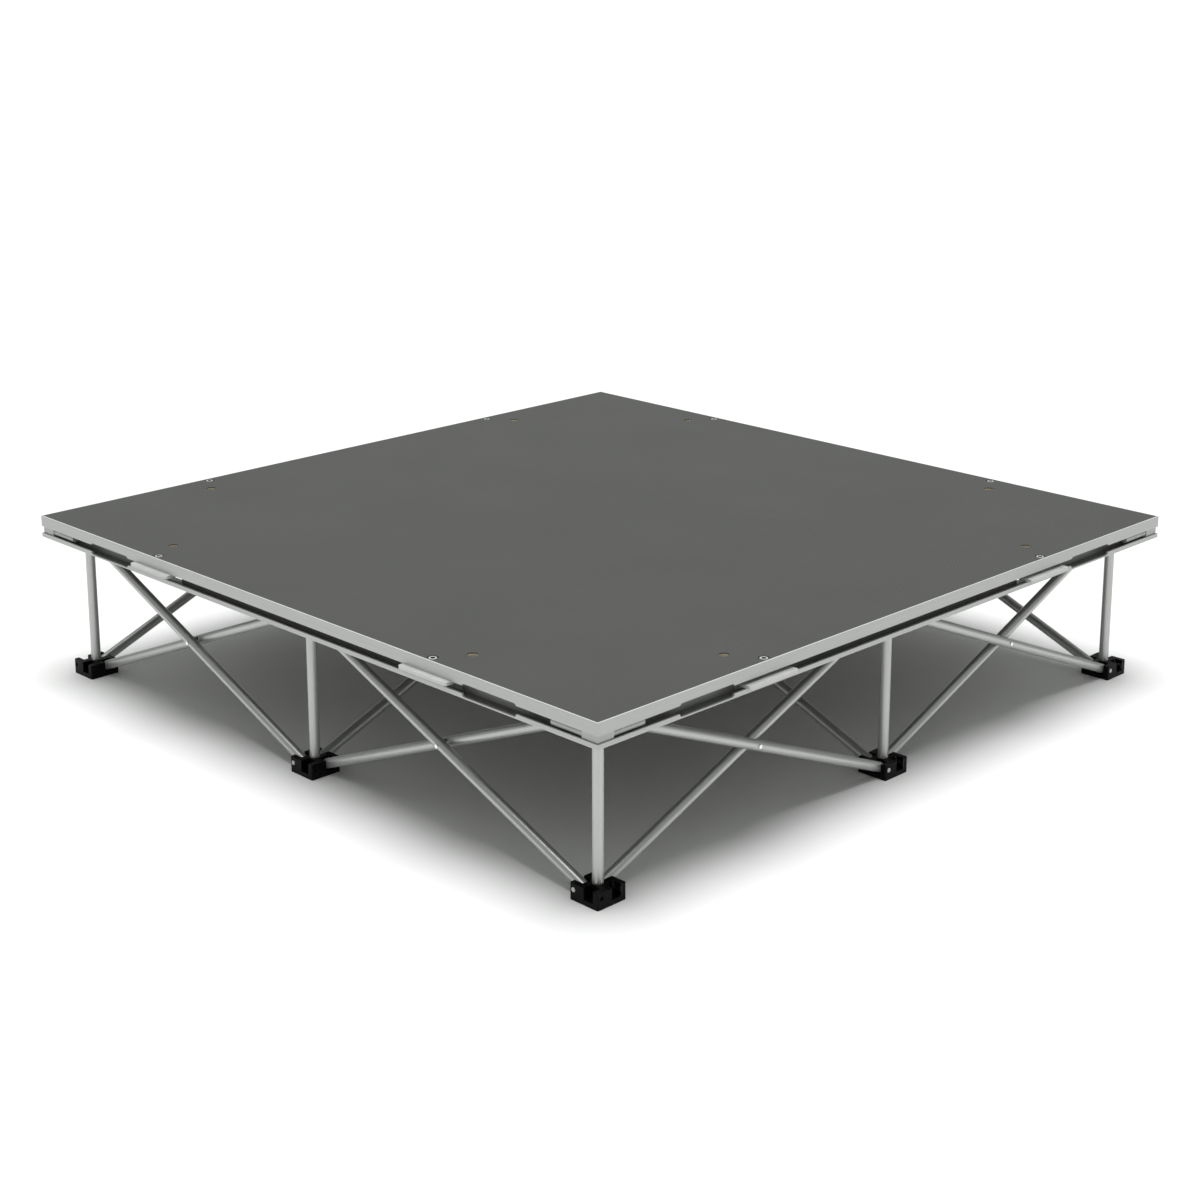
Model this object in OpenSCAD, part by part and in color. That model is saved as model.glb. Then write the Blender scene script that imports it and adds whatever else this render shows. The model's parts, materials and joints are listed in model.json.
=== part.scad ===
// Stage riser platform: a square deck panel on a folding scissor frame.
// Origin: centre of the footprint, on the floor. +Z is up.
// Columns are named by letter along X (a, b, c) and by number along Y (1, 2, 3).

/* [Deck] */
// Side of the square deck
deck_side = 1000; // [960:10:1060]
// Height of the deck surface above the floor
deck_height = 210; // [200:5:240]
// Thickness of the deck, board and surface together
deck_thick = 10; // [9:0.5:11]
// Thickness of the anti-slip surface
surface_thick = 0.6; // [0.4:0.1:1]

/* [Frame] */
// Distance from the deck's face to the axis of an outer post
post_inset = 42; // [42:1:48]
// Outer diameter of posts and struts
tube_d = 12; // [11:0.5:12]
// Wall thickness of posts and struts
tube_wall = 1.2; // [1:0.1:1.6]
// Diameter of the pivot pins
pin_d = 4.5; // [4:0.5:5.5]

/* [Hubs] */
// Side of the square hub blocks
hub_side = 40; // [40:1:42]
// Height of the hub blocks
hub_height = 18.5; // [18.5:0.5:20]
// Distance from the hub's centre to a pivot pin
pin_reach = 14.5; // [14.5:0.1:15]
// Height of a pivot pin above the hub's flat face
pin_height = 12; // [11.5:0.5:12]
// Sideways offset of a strut from the hub's centre
strut_offset = 6.5; // [6.5:0.1:7]
// Depth of the post socket
socket_depth = 10; // [8:1:11]

/* [Rail] */
// Thickness of the rail's walls
rail_wall = 1.5; // [1.5:0.1:1.8]
// Depth of the rail from its outer face
rail_depth = 20; // [20:0.5:21]
// Height of the rail
rail_height = 27.5; // [27.5:0.5:29]
// Thickness of the lips beside the slot mouth
lip_thick = 2.5; // [2:0.1:2.5]
// Height of the slot mouth
mouth_height = 8.8; // [8.8:0.1:9]
// Distance from the rail's outer face to the slot's back wall
slot_depth = 12; // [12:0.1:12.5]

/* [Latches] */
// Length of a latch bar
latch_length = 76; // [70:1:78]
// Thickness of a latch bar
latch_thick = 3.8; // [3.5:0.1:4]
// Distance from the deck's corner to a latch spindle
latch_place = 250; // [250:5:260]
// Distance from the rail's outer face to a latch spindle
latch_inset = 8.8; // [8.6:0.1:8.9]
// How far a turned-out latch bar stands out of the rail
latch_reach = 8; // [6:0.5:9]
// Distance from the deck's corner to the centre of a slot entry
entry_place = 155; // [150:1:160]
// Length of a slot entry
entry_length = 81; // [79:1:84]

/* [Hidden] */
$fn = 48;
run_fit = 0.06;
gap = 0.3;
eps = 0.01;

// Columns
LETTERS = ["a", "b", "c"];
pitch = deck_side / 2 - post_inset;
function col_name(c) = str(LETTERS[c[0]], c[1] + 1);
function col_place(c) = [(c[0] - 1) * pitch, (c[1] - 1) * pitch, 0];
function step_dir(k) = [[1, 0], [0, 1], [-1, 0], [0, -1]][k];
function next_col(c, k) = c + step_dir(k);
function exists(c) = min(c) >= 0 && max(c) <= 2;
function is_even(c) = (c[0] + c[1]) % 2 == 0;
COLUMNS = [for (i = [0:2]) for (j = [0:2]) [i, j]];
STRUTS = [for (c = COLUMNS) for (k = [0:3]) if (exists(next_col(c, k))) [c, k]];
function strut_name(s) = str("strut_", col_name(s[0]), "_", col_name(next_col(s[0], s[1])));

// Struts
tube_r = tube_d / 2;
strut_run = pitch - 2 * pin_reach;
strut_rise = deck_height - deck_thick - 2 * pin_height;
strut_length = sqrt(strut_run * strut_run + strut_rise * strut_rise);
strut_tilt = atan2(strut_rise, strut_run);
strut_end_r = tube_r - 0.1;
plug_length = 14;

// Rivets where two struts cross
rivet_r = 1.7;
rivet_head_r = 2.3;
rivet_head_thick = 0.8;
rivet_reach = strut_offset + tube_r + 0.1;
washer_r = 5;

// Hubs
slot_width = 2 * strut_offset;
slot_floor = pin_height - tube_r - gap;
slot_back = pin_reach - tube_r - gap;
pin_anchor = 6;
pin_head_r = 2.6;
pin_head_thick = 0.6;
hub_chamfer = 1.2;

// Rail heights, measured down from the deck surface
shelf_top = deck_thick;
shelf_under = shelf_top + rail_wall;
floor_top = rail_height - rail_wall;
slot_mid = (shelf_under + floor_top) / 2 - 0.65;
mouth_top = slot_mid - mouth_height / 2;
mouth_foot = slot_mid + mouth_height / 2;
chamber = floor_top - shelf_under;
entry_round = 3.5;

// Corner keys inside the rails
key_face = 24;
key_face_inset = 1.8;
key_face_gap = 0.9;
key_arm = 68;
key_arm_r = 4.5;
key_arm_inset = lip_thick + key_arm_r + 0.1;

// Latches: bars on the front and left sides sit high in the slot, those on the right and back sides low,
// so that the bars of neighbouring decks pass over each other
function is_high(k) = k == 0 || k == 3;
function bar_top(k) = is_high(k) ? mouth_top + 0.2 : mouth_top + latch_thick + 0.3;
bar_front = latch_inset + latch_reach;
bar_back = slot_depth - latch_inset - 0.2;
bar_round = 4;
bar_sweep = sqrt(pow(latch_length / 2, 2) + bar_front * bar_front);
window_half = bar_sweep + 0.4;
spindle_head_r = 4.6;
spindle_hole_r = 6.1;
head_drop = 0.3;
spindle_r = 2.9;
journal_r = 2.5;
hex_r = 2.9;
hex_depth = 6;

// Deck screws and the catch plates that they hold
screw_place = 228;
screw_inset = 44;
screw_head_r = 5.8;
screw_head_height = 3.4;
screw_drop = 1;
screw_shank_r = 2.4;
screw_slot = 1.6;
screw_slot_depth = 1.5;
plate_thick = 3;
plate_length = 66;
plate_inner = 54;

SIDES = ["front", "right", "back", "left"];
function latch_name(k, n) = str("latch_", SIDES[k], "_", n + 1);

// A bar along Y at the origin, from y0 to y1
module rod_y(r, y0, y1) {
    translate([0, y1, 0])
        rotate([90, 0, 0])
            cylinder(r = r, h = y1 - y0);
}

// A tube standing on the origin
module tube(length) {
    difference() {
        cylinder(r = tube_r, h = length);
        translate([0, 0, -1])
            cylinder(r = tube_r - tube_wall, h = length + 2);
    }
}

// Square block with its four upright corners chamfered
module hub_block() {
    far = hub_side / 2;
    near = far - hub_chamfer;
    linear_extrude(hub_height)
        polygon([
            [-near, -far], [near, -far], [far, -near], [far, near],
            [near, far], [-near, far], [-far, near], [-far, -near]
        ]);
}

// Hub standing on its flat face; pinned lists the sides that carry a strut
module hub(pinned, socket_r) {
    difference() {
        hub_block();
        translate([0, 0, hub_height - socket_depth])
            cylinder(r = socket_r, h = socket_depth + 1);
        for (k = [0:3])
            rotate([0, 0, 90 * k]) {
                translate([slot_back, 0, slot_floor])
                    cube([hub_side, slot_width, hub_height]);
                translate([pin_reach, 0, pin_height])
                    rod_y(pin_d / 2, -pin_anchor, hub_side);
            }
    }
    for (k = pinned)
        rotate([0, 0, 90 * k])
            translate([pin_reach, 0, pin_height]) {
                rod_y(pin_d / 2, -pin_anchor, hub_side / 2 + pin_head_thick / 2);
                rod_y(pin_head_r, hub_side / 2, hub_side / 2 + pin_head_thick);
            }
}

module foot(c) {
    pinned = [for (k = [0:3]) if (exists(next_col(c, k))) k];
    color("#1c1c1d")
        translate(col_place(c))
            hub(pinned, tube_r + gap);
}

// Upper hub, the same block turned over, with the post that hangs from it
module leg(c) {
    under_board = deck_height - deck_thick;
    post_foot = hub_height - socket_depth + gap;
    pinned = [for (k = [0:3]) if (exists(next_col(c, k))) (4 - k) % 4];
    translate(col_place(c)) {
        color("#1c1c1d")
            translate([0, 0, under_board])
                rotate([180, 0, 0])
                    hub(pinned, tube_r);
        color("#b9bbba")
            translate([0, 0, post_foot])
                tube(under_board - hub_height + socket_depth - post_foot);
    }
}

// Rivet through both struts of a bay, in the frame of the strut that carries it
module rivet() {
    far = -strut_offset - rivet_reach;
    near = rivet_reach - strut_offset;
    rod_y(rivet_r, far, near);
    rod_y(rivet_head_r, near - 0.4, near + rivet_head_thick);
    rod_y(rivet_head_r, far - rivet_head_thick, far);
    rod_y(washer_r, -strut_offset - 0.42, -tube_r + 1.2);
}

// Tube strut along Z, with solid round ends, bored for its pins
module strut_body(carries_rivet) {
    difference() {
        union() {
            cylinder(r = tube_r, h = strut_length);
            sphere(r = strut_end_r);
            translate([0, 0, strut_length])
                sphere(r = strut_end_r);
        }
        translate([0, 0, plug_length])
            cylinder(r = tube_r - tube_wall, h = strut_length - 2 * plug_length);
        for (z = [0, strut_length])
            translate([0, 0, z])
                rod_y(pin_d / 2 + run_fit, -tube_d, tube_d);
        if (!carries_rivet)
            translate([0, 0, strut_length / 2])
                rod_y(rivet_r + run_fit, -tube_d, tube_d);
    }
    if (carries_rivet)
        translate([0, 0, strut_length / 2])
            rivet();
}

module strut(s) {
    color("#c6c8c7")
        translate(col_place(s[0]))
            rotate([0, 0, 90 * s[1]])
                translate([pin_reach, strut_offset, pin_height])
                    rotate([0, 90 - strut_tilt, 0])
                        strut_body(is_even(s[0]));
}

// Puts its children on side k: X runs along the side, Y inwards from the face, Z up from the deck surface
module on_side(k) {
    rotate([0, 0, 90 * k])
        translate([0, -deck_side / 2, deck_height])
            children();
}

// Cross-section of the rail as (inwards, up), one closed chamber behind one open slot
module rail_section() {
    difference() {
        translate([0, -rail_height])
            square([rail_depth, rail_height]);
        translate([rail_wall, -shelf_top])
            square([rail_depth, shelf_top + 1]);
        translate([lip_thick, -floor_top])
            square([slot_depth - lip_thick, chamber]);
        translate([-1, -mouth_foot])
            square([slot_depth, mouth_height]);
        translate([slot_depth + rail_wall, -floor_top])
            square([rail_depth - slot_depth - 2 * rail_wall, chamber]);
    }
}

// Entry with rounded corners, milled through both lips
module slot_entry() {
    half = entry_length / 2;
    translate([0, lip_thick + eps, -floor_top])
        rotate([90, 0, 0])
            linear_extrude(lip_thick + 1)
                union() {
                    translate([-half, entry_round])
                        square([entry_length, chamber - 2 * entry_round]);
                    translate([entry_round - half, 0])
                        square([entry_length - 2 * entry_round, chamber]);
                    for (x = [entry_round - half, half - entry_round])
                        for (z = [entry_round, chamber - entry_round])
                            translate([x, z])
                                circle(r = entry_round);
                }
}

// Window through the back walls that lets a latch bar turn
module latch_window() {
    translate([-window_half, slot_depth - eps, -floor_top])
        cube([2 * window_half, rail_depth, chamber]);
}

// Places children at both mirrored spots along a side, at a distance from the corner
module at_both(place) {
    for (way = [-1, 1])
        translate([way * (deck_side / 2 - place), 0, 0])
            children();
}

module rail(k) {
    half = deck_side / 2;
    color("#c9cbcb")
        on_side(k)
            difference() {
                intersection() {
                    translate([-half, 0, 0])
                        rotate([90, 0, 90])
                            linear_extrude(deck_side)
                                rail_section();
                    translate([0, 0, -rail_height - 1])
                        linear_extrude(rail_height + 2)
                            polygon([
                                [-half, 0], [half, 0],
                                [half - rail_depth, rail_depth], [rail_depth - half, rail_depth]
                            ]);
                }
                at_both(entry_place)
                    slot_entry();
                at_both(latch_place)
                    latch_window();
                at_both(latch_place)
                    translate([0, latch_inset, -shelf_under - eps])
                        cylinder(r = spindle_r + run_fit, h = 2 * rail_wall);
                at_both(latch_place)
                    translate([0, latch_inset, -rail_height - eps])
                        cylinder(r = journal_r + run_fit, h = 2 * rail_wall);
            }
}

// L-shaped slice of a corner key, between two distances from the rail's outer faces
module key_slice(outer, inner, foot, height) {
    translate([0, 0, -foot])
        linear_extrude(height)
            polygon([
                [outer, outer], [key_face, outer], [key_face, inner],
                [inner, inner], [inner, key_face], [outer, key_face]
            ]);
}

// Corner key: a block behind the lips, a face that fills the slot's mouth, and two round arms
module corner_key() {
    arm_start = slot_depth + eps;
    arm_length = key_arm - arm_start;
    key_slice(lip_thick, slot_depth, floor_top, chamber);
    key_slice(key_face_inset, lip_thick + eps, mouth_foot - key_face_gap, mouth_height - key_face_gap - 0.1);
    translate([arm_start, key_arm_inset, -slot_mid])
        rotate([0, 90, 0])
            cylinder(r = key_arm_r, h = arm_length);
    translate([key_arm_inset, key_arm, -slot_mid])
        rotate([90, 0, 0])
            cylinder(r = key_arm_r, h = arm_length);
}

module corner_keys() {
    color("#a9abab")
        for (k = [0:3])
            rotate([0, 0, 90 * k])
                translate([-deck_side / 2, -deck_side / 2, deck_height])
                    corner_key();
}

// Square sheet inside the rail's outer wall, its top at height z
module deck_sheet(z, thick) {
    side = deck_side - 2 * rail_wall;
    translate([-side / 2, -side / 2, z - thick])
        cube([side, side, thick]);
}

// Holes through the deck for the latch spindles and the countersunk screws
module deck_holes() {
    for (k = [0:3])
        on_side(k) {
            at_both(latch_place)
                translate([0, latch_inset, -deck_thick - 1])
                    cylinder(r = spindle_hole_r, h = deck_thick + 2);
            at_both(screw_place)
                translate([0, screw_inset, 0]) {
                    translate([0, 0, -deck_thick - 1])
                        cylinder(r = screw_shank_r + 0.1, h = deck_thick);
                    translate([0, 0, -screw_drop - screw_head_height])
                        cylinder(r1 = screw_shank_r + 0.1, r2 = screw_head_r + 0.1, h = screw_head_height);
                    translate([0, 0, -screw_drop - eps])
                        cylinder(r = screw_head_r + 0.1, h = screw_drop + 1);
                }
        }
}

module deck_board() {
    color("#8a6b48")
        difference() {
            deck_sheet(deck_height - surface_thick, deck_thick - surface_thick);
            deck_holes();
        }
}

module deck_surface() {
    color("#5f625f")
        difference() {
            deck_sheet(deck_height, surface_thick);
            deck_holes();
        }
}

// Countersunk screw with a slotted head, its top at the origin
module deck_screw() {
    length = deck_thick + plate_thick - screw_drop;
    difference() {
        union() {
            translate([0, 0, -length])
                cylinder(r = screw_shank_r, h = length - eps);
            translate([0, 0, -screw_head_height])
                cylinder(r1 = screw_shank_r, r2 = screw_head_r, h = screw_head_height);
        }
        translate([-screw_head_r - 1, -screw_slot / 2, -screw_slot_depth])
            cube([2 * screw_head_r + 2, screw_slot, screw_slot_depth + 1]);
    }
}

module deck_screws() {
    color("#c79a4b")
        for (k = [0:3])
            on_side(k)
                at_both(screw_place)
                    translate([0, screw_inset, -screw_drop])
                        rotate([0, 0, 45 - 90 * k])
                            deck_screw();
}

// Flat plates under the board, over the space that a turned-in latch bar fills
module catch_plates() {
    color("#8f9192")
        for (k = [0:3])
            on_side(k)
                difference() {
                    at_both(latch_place)
                        translate([-plate_length / 2, rail_depth + gap, -deck_thick - plate_thick])
                            cube([plate_length, plate_inner - rail_depth, plate_thick]);
                    at_both(screw_place)
                        translate([0, screw_inset, -deck_thick - plate_thick - 1])
                            cylinder(r = screw_shank_r + 0.1, h = plate_thick + 2);
                }
}

// Flat latch bar turned out of the rail, its two outer corners rounded
module latch_bar() {
    half = latch_length / 2;
    outer = bar_round - bar_front;
    linear_extrude(latch_thick)
        union() {
            translate([-half, outer])
                square([latch_length, bar_back - outer]);
            translate([bar_round - half, -bar_front])
                square([latch_length - 2 * bar_round, bar_round + eps]);
            for (x = [bar_round - half, half - bar_round])
                translate([x, outer])
                    circle(r = bar_round);
        }
}

// Spindle with a hexagon socket, carrying its bar with the top that far below the deck surface
module latch_body(bar) {
    head_foot = deck_thick - gap;
    difference() {
        translate([0, 0, -head_foot])
            cylinder(r = spindle_head_r, h = head_foot - head_drop);
        translate([0, 0, -head_drop - hex_depth])
            cylinder(r = hex_r, h = hex_depth + 1, $fn = 6);
    }
    translate([0, 0, -bar - eps])
        cylinder(r = spindle_r, h = bar - head_foot + 2 * eps);
    translate([0, 0, -bar - latch_thick])
        latch_bar();
    translate([0, 0, -rail_height])
        cylinder(r = journal_r, h = rail_height - bar - latch_thick + eps);
}

module latch(k, n) {
    way = 2 * n - 1;
    color("#b4b6b6")
        on_side(k)
            translate([way * (deck_side / 2 - latch_place), latch_inset, 0])
                latch_body(bar_top(k));
}

for (c = COLUMNS) foot(c);
for (c = COLUMNS) leg(c);
for (s = STRUTS) strut(s);
for (k = [0:3]) for (n = [0:1]) latch(k, n);
for (k = [0:3]) rail(k);
deck_board();
deck_surface();
corner_keys();
deck_screws();
catch_plates();
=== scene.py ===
"""Stage riser platform: looks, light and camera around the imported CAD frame."""
import json
import math

import bpy
from mathutils import Matrix, Vector


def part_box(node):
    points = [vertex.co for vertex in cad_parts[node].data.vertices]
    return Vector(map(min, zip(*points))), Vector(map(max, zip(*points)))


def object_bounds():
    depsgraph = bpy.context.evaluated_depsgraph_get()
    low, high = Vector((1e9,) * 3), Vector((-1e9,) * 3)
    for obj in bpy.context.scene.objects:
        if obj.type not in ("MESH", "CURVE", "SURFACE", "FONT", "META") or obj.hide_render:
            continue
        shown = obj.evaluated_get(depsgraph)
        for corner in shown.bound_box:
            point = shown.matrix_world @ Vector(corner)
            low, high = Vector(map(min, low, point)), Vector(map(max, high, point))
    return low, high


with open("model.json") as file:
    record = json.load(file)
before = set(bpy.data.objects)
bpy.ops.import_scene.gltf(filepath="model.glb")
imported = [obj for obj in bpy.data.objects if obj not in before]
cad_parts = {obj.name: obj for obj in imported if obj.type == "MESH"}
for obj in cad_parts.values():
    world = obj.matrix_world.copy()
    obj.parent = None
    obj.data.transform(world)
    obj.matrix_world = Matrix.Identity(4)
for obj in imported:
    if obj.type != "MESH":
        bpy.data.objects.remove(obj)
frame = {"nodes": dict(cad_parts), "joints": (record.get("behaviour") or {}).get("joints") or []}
cad_low, cad_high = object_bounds()
NODES = frame["nodes"]
JOINTS = {joint["name"]: joint for joint in frame["joints"]}

MM = 0.001
TOLERANCE = 0.05 * MM

# Sizes that the frame gives
PIN_REACH, PIN_OFFSET, PIN_HEIGHT = JOINTS["fold"]["pos_m"]
PITCH = JOINTS["strut_c2_c3_foot_pin"]["pos_m"][0] + PIN_OFFSET
UNDER_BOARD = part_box("leg_b2")[1].z
RAIL_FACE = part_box("rail_right")[1].x
RAIL_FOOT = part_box("rail_right")[0].z
STRUT_LOW, STRUT_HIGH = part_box("strut_a1_b1")

# Sizes of the hubs, tubes, latch sockets and rail slots
HUB_HALF = 20.0 * MM
PIN_RADIUS = 2.4 * MM
TUBE_RADIUS = 6.0 * MM
HUB_COLLAR = 2.0 * MM
SOCKET_RADIUS = 2.6 * MM
SOCKET_DEPTH = 7.0 * MM
RAIL_WALL = 1.5 * MM
LIP_THICK = 2.5 * MM
SLOT_DEPTH = 12.0 * MM
SLOT_FLOOR = RAIL_FOOT + RAIL_WALL
SLOT_ROOF = UNDER_BOARD - RAIL_WALL

# How the edges are softened
HUB_EDGE = 0.5 * MM
STRUT_EDGE = 0.25 * MM
RAIL_EDGE = 0.6 * MM
LATCH_EDGE = 0.4 * MM
KEY_EDGE = 0.4 * MM
PLATE_EDGE = 0.3 * MM
BOARD_EDGE = 0.2 * MM
SCREW_EDGE = 0.15 * MM
FILM_EDGE = 0.1 * MM
WELD_GAP = 0.01 * MM
FLAT_ANGLE = math.radians(0.5)
BEVEL_ANGLE = math.radians(38.0)
CORNER_ANGLE = math.radians(55.0)

# Share of a face's normal, above which the face counts as lying level or looking sideways
LEVEL = 0.9
SIDEWAYS = 0.5

# Sizes of the surface patterns
HEX_PITCH = 4.2 * MM
VENEER = 1.4 * MM
STREAKS_ALONG = 3.0
STREAKS_ACROSS = 900.0
STREAK_TONE = 0.05

# The middle part of a noise, where most of its values lie
NOISE_LOW = 0.3
NOISE_HIGH = 0.7

# Tints that multiply a grey
STEEL_TINT = (1.0, 1.0, 0.99)
ANODISED = (0.985, 1.0, 0.98)
FILM_TINT = (1.0, 1.02, 0.98)
NEUTRAL = (1.0, 1.0, 1.0)


# ---------------------------------------------------------------- node helpers

class Graph:
    """A material's node tree, with short calls for the nodes used here."""

    def __init__(self, name):
        self.material = bpy.data.materials.new(name)
        self.material.use_nodes = True
        self.tree = self.material.node_tree
        self.shader = self.tree.nodes["Principled BSDF"]

    def node(self, kind, inputs=None, **settings):
        made = self.tree.nodes.new(kind)
        for key, value in settings.items():
            setattr(made, key, value)
        for key, value in (inputs or {}).items():
            self.feed(made.inputs[key], value)
        return made

    def feed(self, socket, value):
        if isinstance(value, bpy.types.NodeSocket):
            self.tree.links.new(value, socket)
        else:
            socket.default_value = value

    def place(self):
        """Object coordinates in metres."""
        return self.node("ShaderNodeTexCoord").outputs["Object"]

    def math(self, operation, a, b=0.0):
        return self.node("ShaderNodeMath", {0: a, 1: b}, operation=operation).outputs[0]

    def vector(self, operation, a, b=(0.0, 0.0, 0.0), result="Vector"):
        return self.node("ShaderNodeVectorMath", {0: a, 1: b}, operation=operation).outputs[result]

    def noise(self, place, scale, detail=4.0, rough=0.55, distortion=0.0):
        inputs = {
            "Vector": place, "Scale": scale, "Detail": detail, "Roughness": rough, "Distortion": distortion,
        }
        return self.node("ShaderNodeTexNoise", inputs).outputs["Fac"]

    def spread(self, value, low, high, to_low=0.0, to_high=1.0, smooth=False):
        inputs = {"Value": value, "From Min": low, "From Max": high, "To Min": to_low, "To Max": to_high}
        kind = "SMOOTHSTEP" if smooth else "LINEAR"
        return self.node("ShaderNodeMapRange", inputs, interpolation_type=kind).outputs["Result"]

    def contrast(self, noise, to_low=0.0, to_high=1.0):
        """Stretches a noise's middle part over the given range."""
        return self.spread(noise, NOISE_LOW, NOISE_HIGH, to_low, to_high)

    def blend(self, factor, a, b):
        made = self.node("ShaderNodeMix", data_type="RGBA")
        self.feed(made.inputs["Factor"], factor)
        self.feed(made.inputs["A"], a)
        self.feed(made.inputs["B"], b)
        return made.outputs["Result"]

    def weigh(self, a, share, b, rest):
        """Sum of two values, each times its share."""
        return self.math("ADD", self.math("MULTIPLY", a, share), self.math("MULTIPLY", b, rest))

    def bump(self, height, strength, distance):
        inputs = {"Height": height, "Strength": strength, "Distance": distance}
        return self.node("ShaderNodeBump", inputs).outputs["Normal"]

    def shade(self, **values):
        for key, value in values.items():
            self.feed(self.shader.inputs[key.replace("_", " ")], value)
        return self.material


def grey(value, tint=NEUTRAL):
    return tuple(value * t for t in tint) + (1.0,)


# ---------------------------------------------------------------- materials

def drawn_metal(name, run, value, rough, metallic):
    """Extruded or drawn aluminium: fine streaks along run, faint handling marks across them. Etched and
    anodised metal scatters part of its light, so its metallic share is lower."""
    g = Graph(name)
    place = g.place()
    run = Vector(run).normalized()
    across = run.cross(Vector((0.3, 0.5, 0.81))).normalized()
    third = run.cross(across)

    def stretched(direction, scale):
        return g.math("MULTIPLY", g.vector("DOT_PRODUCT", place, tuple(direction), "Value"), scale)

    lines = g.node("ShaderNodeCombineXYZ", {
        "X": stretched(run, STREAKS_ALONG),
        "Y": stretched(across, STREAKS_ACROSS),
        "Z": stretched(third, STREAKS_ACROSS),
    }).outputs[0]
    streaks = g.noise(lines, 1.0, 3.0, 0.6)
    clouds = g.noise(place, 14.0, 5.0, 0.6)
    tone = g.contrast(g.weigh(streaks, 0.7, clouds, 0.3))
    darker = grey(value * (1 - STREAK_TONE), ANODISED)
    lighter = grey(value * (1 + STREAK_TONE), ANODISED)
    return g.shade(
        Base_Color=g.blend(tone, darker, lighter), Metallic=metallic, Anisotropic=0.35,
        Roughness=g.spread(tone, 0.0, 1.0, rough + 0.05, rough - 0.04),
        Normal=g.bump(streaks, 0.5, 0.02 * MM),
    )


def cast_metal(name, value, rough, tint=STEEL_TINT, metallic=1.0):
    """Plated or milled metal with a fine even grain."""
    g = Graph(name)
    place = g.place()
    fine = g.noise(place, 1600.0, 3.0)
    wide = g.noise(place, 55.0, 4.0)
    return g.shade(
        Base_Color=g.blend(g.contrast(wide), grey(value * 0.93, tint), grey(value * 1.05, tint)),
        Metallic=metallic, Roughness=g.contrast(wide, rough - 0.05, rough + 0.07),
        Normal=g.bump(fine, 0.25, 0.04 * MM),
    )


def moulded_plastic(name):
    """Black glass-filled nylon: fine spark-eroded grain, rubbed a little lighter in patches."""
    g = Graph(name)
    place = g.place()
    grain = g.noise(place, 2200.0, 2.0)
    wide = g.noise(place, 70.0, 5.0, 0.65)
    rubbed = g.spread(wide, 0.55, 0.8)
    return g.shade(
        Base_Color=g.blend(rubbed, grey(0.001), grey(0.006)), Specular_IOR_Level=0.1,
        Roughness=g.contrast(wide, 0.34, 0.5), Normal=g.bump(grain, 0.3, 0.05 * MM),
    )


def anti_slip(name):
    """Phenolic film pressed with a honeycomb mesh: small raised cells in rows, each a little worn on top."""
    g = Graph(name)
    place = g.place()
    cell = (HEX_PITCH, HEX_PITCH * math.sqrt(3.0), 1.0)
    half = tuple(c / 2 for c in cell)
    below = tuple(-h for h in half)

    def lattice(shift):
        moved = g.vector("ADD", place, shift)
        wrapped = g.node("ShaderNodeVectorMath", {0: moved, 1: half, 2: below}, operation="WRAP")
        flat = g.vector("MULTIPLY", wrapped.outputs["Vector"], (1.0, 1.0, 0.0))
        return g.vector("LENGTH", flat, result="Value")

    reach = g.math("MINIMUM", lattice((0.0, 0.0, 0.0)), lattice(half))
    raised = g.spread(reach, 0.22 * HEX_PITCH, 0.46 * HEX_PITCH, 1.0, 0.0, smooth=True)
    wear = g.noise(place, 6.0, 6.0, 0.6)
    fine = g.noise(place, 900.0, 3.0)
    scuffs = g.spread(g.noise(place, 30.0, 8.0, 0.7, 1.5), 0.58, 0.75)
    base = g.blend(g.contrast(wear), grey(0.052, FILM_TINT), grey(0.059, FILM_TINT))
    cells = g.blend(g.math("MULTIPLY", raised, 0.1), base, grey(0.095, FILM_TINT))
    return g.shade(
        Base_Color=g.blend(g.math("MULTIPLY", scuffs, 0.12), cells, grey(0.12)),
        Roughness=g.spread(g.weigh(raised, 0.5, fine, 0.5), 0.2, 0.8, 0.56, 0.44),
        Normal=g.bump(g.weigh(raised, 1.0, fine, 0.15), 0.2, 0.1 * MM),
    )


def board_film(name):
    """Smooth dark phenolic film under the board, with the veneer's long grain showing faintly through."""
    g = Graph(name)
    place = g.place()
    grain = g.noise(g.vector("MULTIPLY", place, (2.5, 38.0, 300.0)), 1.0, 6.0, 0.62, 0.6)
    fine = g.noise(place, 1200.0, 2.0)
    return g.shade(
        Base_Color=g.blend(g.contrast(grain), (0.030, 0.026, 0.023, 1.0), (0.046, 0.040, 0.035, 1.0)),
        Roughness=g.contrast(grain, 0.38, 0.5),
        Normal=g.bump(g.weigh(grain, 1.0, fine, 0.2), 0.3, 0.12 * MM),
    )


def board_edge(name):
    """Cut birch plywood: thin brown veneers seen from the side."""
    g = Graph(name)
    place = g.place()
    split = g.node("ShaderNodeSeparateXYZ", {0: place})
    layer = g.math("FRACT", g.math("MULTIPLY", split.outputs["Z"], 1.0 / VENEER))
    dark = g.spread(g.math("ABSOLUTE", g.math("SUBTRACT", layer, 0.5)), 0.3, 0.42, smooth=True)
    fibres = g.noise(g.vector("MULTIPLY", place, (400.0, 400.0, 1500.0)), 1.0, 3.0)
    layers = g.blend(dark, (0.13, 0.105, 0.06, 1.0), (0.055, 0.042, 0.025, 1.0))
    return g.shade(
        Base_Color=g.blend(g.contrast(fibres, 0.0, 0.4), layers, (0.17, 0.14, 0.085, 1.0)),
        Roughness=0.7, Normal=g.bump(fibres, 0.3, 0.05 * MM),
    )


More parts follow.
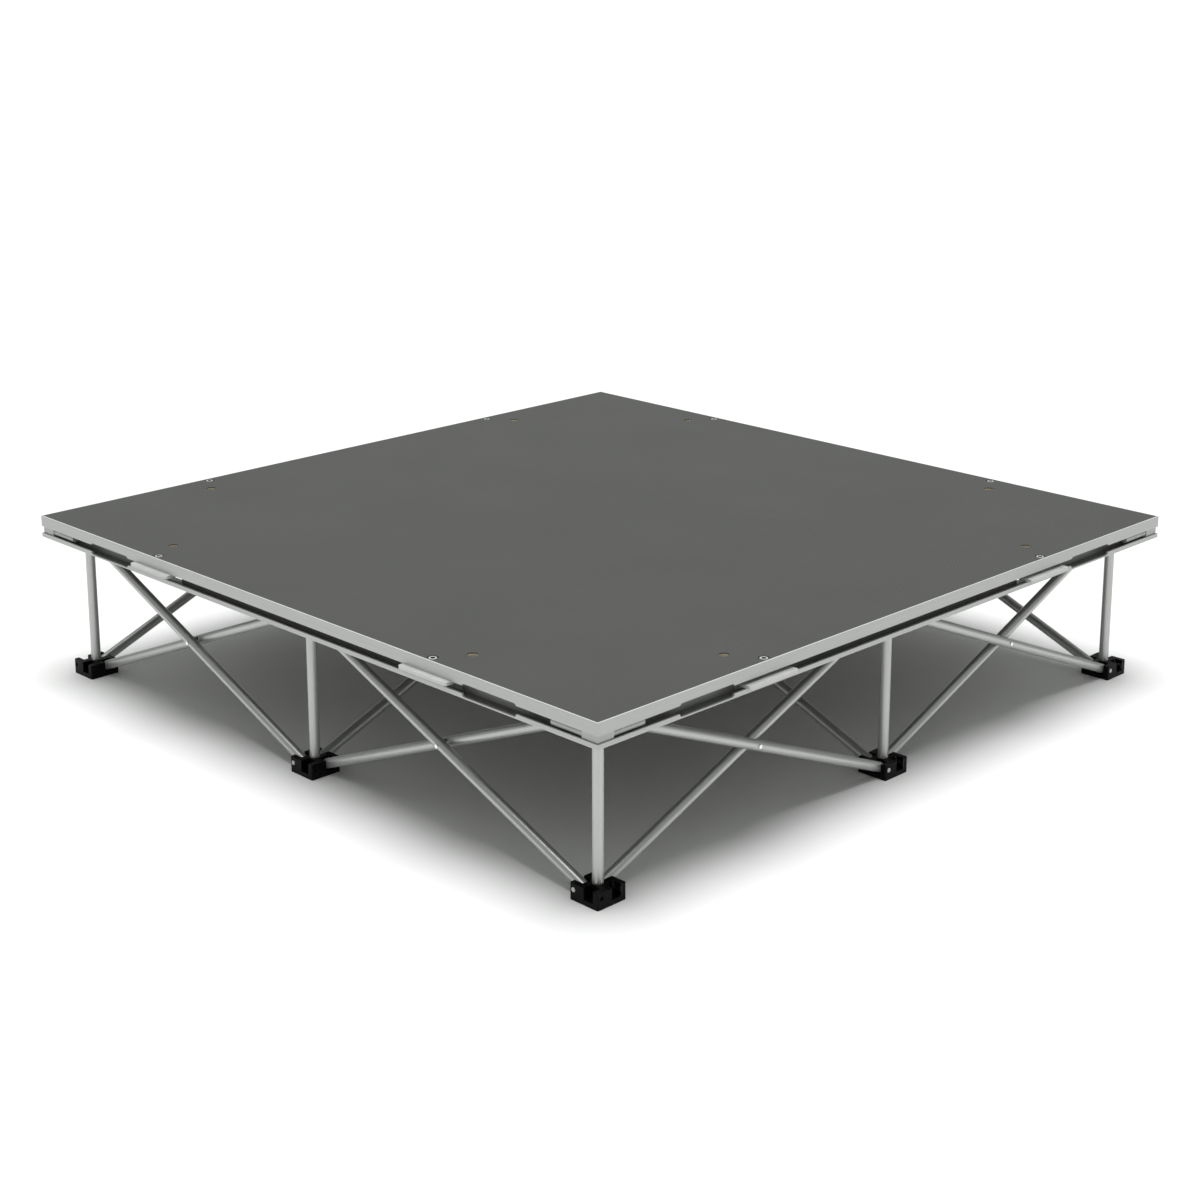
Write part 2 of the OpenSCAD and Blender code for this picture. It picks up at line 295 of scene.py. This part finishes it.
def brass(name):
    """Dulled brass: browner and rougher in patches."""
    g = Graph(name)
    wide = g.noise(g.place(), 260.0, 5.0, 0.6)
    return g.shade(
        Base_Color=g.blend(g.contrast(wide), (0.27, 0.24, 0.15, 1.0), (0.52, 0.46, 0.31, 1.0)),
        Metallic=1.0, Roughness=g.contrast(wide, 0.46, 0.32), Normal=g.bump(wide, 0.2, 0.03 * MM),
    )


def floor_paint(name):
    """Pale seamless studio floor."""
    g = Graph(name)
    place = g.place()
    return g.shade(
        Base_Color=g.blend(g.contrast(g.noise(place, 3.0, 4.0)), grey(0.84), grey(0.86)),
        Roughness=0.75, Normal=g.bump(g.noise(place, 700.0, 2.0), 0.05, 0.2 * MM),
    )


hub_black = moulded_plastic("hub_black")
pin_steel = cast_metal("pin_steel", 0.55, 0.28)
rivet_steel = cast_metal("rivet_steel", 0.85, 0.2)
# Near-black metal painted into the latch sockets as shade, for the shadow deep in the hex recess.
socket_painted_shade = cast_metal("socket_dark_painted_shade", 0.02, 0.45, metallic=0.3)
post_metal = drawn_metal("post_aluminium", (0, 0, 1), 0.52, 0.38, 0.6)
key_metal = cast_metal("key_aluminium", 0.44, 0.4, ANODISED, 0.3)
latch_metal = cast_metal("latch_zinc", 0.58, 0.42, ANODISED, 0.3)
plate_metal = cast_metal("plate_zinc", 0.55, 0.36)
# Light metal painted on the rail's top face as a highlight, for the bright line along its top edge.
top_edge_painted_highlight = cast_metal("top_edge_painted_highlight", 0.8, 0.3, ANODISED, 0.3)
# Dark metal painted inside the rail slots' chambers as shade for the recess behind the lips.
slot_painted_shade_metal = cast_metal("slot_aluminium_painted_shade", 0.2, 0.5, ANODISED, 0.3)
screw_brass = brass("screw_brass")
board_under = board_film("board_film")
veneer_edge = board_edge("veneer_edge")
surface_film = anti_slip("anti_slip_film")
rail_metal = {
    axis: drawn_metal(f"rail_aluminium_{axis}", run, 0.46, 0.36, 0.4)
    for axis, run in {"x": (1, 0, 0), "y": (0, 1, 0)}.items()
}
RAIL_AXES = {"front": "x", "right": "y", "back": "x", "left": "y"}
STRUT_SLOPE = (STRUT_HIGH.z - STRUT_LOW.z) / (STRUT_HIGH.x - STRUT_LOW.x)
STRUT_STEPS = {"east": (1, 0), "north": (0, 1), "west": (-1, 0), "south": (0, -1)}
strut_metal = {
    step: drawn_metal(f"strut_aluminium_{heading}", (*step, STRUT_SLOPE), 0.5, 0.36, 0.72)
    for heading, step in STRUT_STEPS.items()
}


# ---------------------------------------------------------------- CAD nodes: edges and materials

def finish_edges(piece, width, segments=2, sheet=False):
    """Softens a CAD node's hard edges with modifiers, leaving its mesh as it is. A sheet keeps its facets,
    as the merged outline of a plate full of holes can't be bevelled."""
    mesh = piece.data
    mesh.polygons.foreach_set("use_smooth", [True] * len(mesh.polygons))
    weld = piece.modifiers.new("Weld", "WELD")
    weld.merge_threshold = WELD_GAP
    if not sheet:
        flats = piece.modifiers.new("Whole flats", "DECIMATE")
        flats.decimate_type = "DISSOLVE"
        flats.angle_limit = FLAT_ANGLE
        flats.delimit = {"MATERIAL"}
    bevel = piece.modifiers.new("Soft edges", "BEVEL")
    bevel.width = width
    bevel.segments = segments
    bevel.limit_method = "ANGLE"
    bevel.angle_limit = BEVEL_ANGLE
    bevel.miter_outer = "MITER_ARC"
    split = piece.modifiers.new("Crisp corners", "EDGE_SPLIT")
    split.split_angle = CORNER_ANGLE
    split.use_edge_sharp = False
    piece.modifiers.new("Weighted normals", "WEIGHTED_NORMAL").keep_sharp = False


def dress(piece, *materials, pick=None):
    """Gives a piece its materials. pick, where given, returns the number of the one that a face takes."""
    piece.data.materials.clear()
    for material in materials:
        piece.data.materials.append(material)
    if pick:
        for face in piece.data.polygons:
            face.material_index = pick(face)


def column(name):
    """A column's place in the grid, from its letter along X and its number along Y."""
    return "abc".index(name[0]), int(name[1]) - 1


def column_place(name):
    i, j = column(name)
    return Vector(((i - 1) * PITCH, (j - 1) * PITCH, 0.0))


def is_pin(centre, normal):
    """True for a face that belongs to a pin; centre and normal are in the frame of a hub standing flat."""
    if max(abs(centre.x), abs(centre.y)) > HUB_HALF + TOLERANCE:
        return True
    for quarter in range(4):
        turn = Matrix.Rotation(-quarter * math.pi / 2, 3, "Z")
        at = turn @ centre
        out = turn @ normal
        spoke = Vector((at.x - PIN_REACH, 0.0, at.z - PIN_HEIGHT))
        if spoke.length < PIN_RADIUS and spoke.dot(out) > 0.0 and abs(out.y) < SIDEWAYS:
            return True
    return False


def dress_hub(piece, name, turned_over):
    """The block is black, its pins are steel and the post is bare tube."""
    place = column_place(name)
    flip = Matrix.Diagonal((1.0, -1.0, -1.0)) if turned_over else Matrix.Identity(3)
    base = Vector((0.0, 0.0, UNDER_BOARD if turned_over else 0.0))

    def pick(face):
        at = face.center - place
        on_post = at.xy.length < TUBE_RADIUS + TOLERANCE and at.z < UNDER_BOARD - HUB_COLLAR
        if turned_over and on_post:
            return 2
        return 1 if is_pin(flip @ (at - base), flip @ face.normal) else 0

    finish_edges(piece, HUB_EDGE)
    dress(piece, hub_black, pin_steel, post_metal, pick=pick)


def dress_strut(piece, foot, top):
    """The tube is aluminium; the rivet and its washer, which stand out of it, are steel."""
    step = tuple(b - a for a, b in zip(column(foot), column(top)))
    ahead = Vector((*step, 0.0)) * PIN_REACH
    beside = Vector((-step[1], step[0], 0.0)) * PIN_OFFSET
    start = column_place(foot) + ahead + beside
    end = column_place(top) - ahead + beside
    start.z = PIN_HEIGHT
    end.z = UNDER_BOARD - PIN_HEIGHT
    run = (end - start).normalized()

    def pick(face):
        spoke = face.center - start
        away = (spoke - run * spoke.dot(run)).length
        return 1 if away > TUBE_RADIUS + TOLERANCE else 0

    finish_edges(piece, STRUT_EDGE)
    dress(piece, strut_metal[step], rivet_steel, pick=pick)


def in_slot(centre):
    """True for a rail's face that lines the chamber of its slot, behind the lips, which gets painted shade.
    """
    depth = RAIL_FACE - max(abs(centre.x), abs(centre.y))
    inner = LIP_THICK - TOLERANCE < depth < SLOT_DEPTH + TOLERANCE
    level = SLOT_FLOOR - TOLERANCE < centre.z < SLOT_ROOF + TOLERANCE
    return inner and level


def dress_rail(piece, side):
    """The rail's top face gets a painted highlight, and the chamber of its slot gets painted shade."""
    def pick(face):
        if face.center.z > cad_high[2] - TOLERANCE:
            return 1
        return 2 if in_slot(face.center) else 0

    finish_edges(piece, RAIL_EDGE, segments=3)
    dress(piece, rail_metal[RAIL_AXES[side]], top_edge_painted_highlight, slot_painted_shade_metal, pick=pick)


def dress_latch(piece, name):
    """The socket in the spindle's head gets painted shade: a near-black metal for the shadow deep in its
    recess.
    """
    spindle = Vector(JOINTS[f"{name}_turn"]["pos_m"])

    def pick(face):
        deep = face.center.z > cad_high[2] - SOCKET_DEPTH
        return 1 if deep and (face.center - spindle).xy.length < SOCKET_RADIUS else 0

    finish_edges(piece, LATCH_EDGE)
    dress(piece, latch_metal, socket_painted_shade, pick=pick)


for name, piece in NODES.items():
    kind, *rest = name.split("_")
    if kind in ("foot", "leg"):
        dress_hub(piece, rest[0], kind == "leg")
    elif kind == "strut":
        dress_strut(piece, *rest)
    elif kind == "rail":
        dress_rail(piece, rest[0])
    elif kind == "latch":
        dress_latch(piece, name)

for name, material, width in (
    ("corner_keys", key_metal, KEY_EDGE), ("deck_screws", screw_brass, SCREW_EDGE),
):
    finish_edges(NODES[name], width)
    dress(NODES[name], material)

for name, material, width in (
    ("catch_plates", plate_metal, PLATE_EDGE), ("deck_surface", surface_film, FILM_EDGE),
):
    finish_edges(NODES[name], width, sheet=True)
    dress(NODES[name], material)

board = NODES["deck_board"]
finish_edges(board, BOARD_EDGE, sheet=True)
dress(board, board_under, veneer_edge, pick=lambda face: 0 if abs(face.normal.z) > LEVEL else 1)


# ---------------------------------------------------------------- floor, light and camera

FLOOR_SIZE = 120.0
SKY_GLOW = 0.40
SKY_COLOUR = (0.965, 1.0, 0.965, 1.0)
SUN_POWER = 3.1
SUN_SPREAD = math.radians(36.0)
CAMERA_REACH = 2.6356
CAMERA_BEARING = math.radians(-44.857)
CAMERA_HEIGHT = 0.9731
CAMERA_HEADING = math.radians(135.131)
CAMERA_PITCH = math.radians(13.614)
CAMERA_LENS = 64.98
CAMERA_SENSOR = 36.0
CAMERA_SHIFT = -0.15

bpy.ops.mesh.primitive_plane_add(size=FLOOR_SIZE, location=(0, 0, cad_low[2]))
floor = bpy.context.object
floor.name = "studio_floor"
floor.data.materials.append(floor_paint("floor_paint"))

scene = bpy.context.scene
scene.view_settings.view_transform = "Standard"

world = bpy.data.worlds.new("studio")
world.use_nodes = True
backdrop = world.node_tree.nodes["Background"]
backdrop.inputs["Strength"].default_value = SKY_GLOW
backdrop.inputs["Color"].default_value = SKY_COLOUR
scene.world = world

sun_data = bpy.data.lights.new("soft_key", "SUN")
sun_data.energy = SUN_POWER
sun_data.angle = SUN_SPREAD
sun = bpy.data.objects.new("soft_key", sun_data)
scene.collection.objects.link(sun)

camera_data = bpy.data.cameras.new("camera")
camera_data.lens = CAMERA_LENS
camera_data.sensor_width = CAMERA_SENSOR
camera_data.shift_y = CAMERA_SHIFT
camera = bpy.data.objects.new("camera", camera_data)
camera.location = (
    CAMERA_REACH * math.cos(CAMERA_BEARING), CAMERA_REACH * math.sin(CAMERA_BEARING), CAMERA_HEIGHT,
)
camera.rotation_euler = (math.pi / 2 - CAMERA_PITCH, 0.0, CAMERA_HEADING - math.pi / 2)
scene.collection.objects.link(camera)
scene.camera = camera
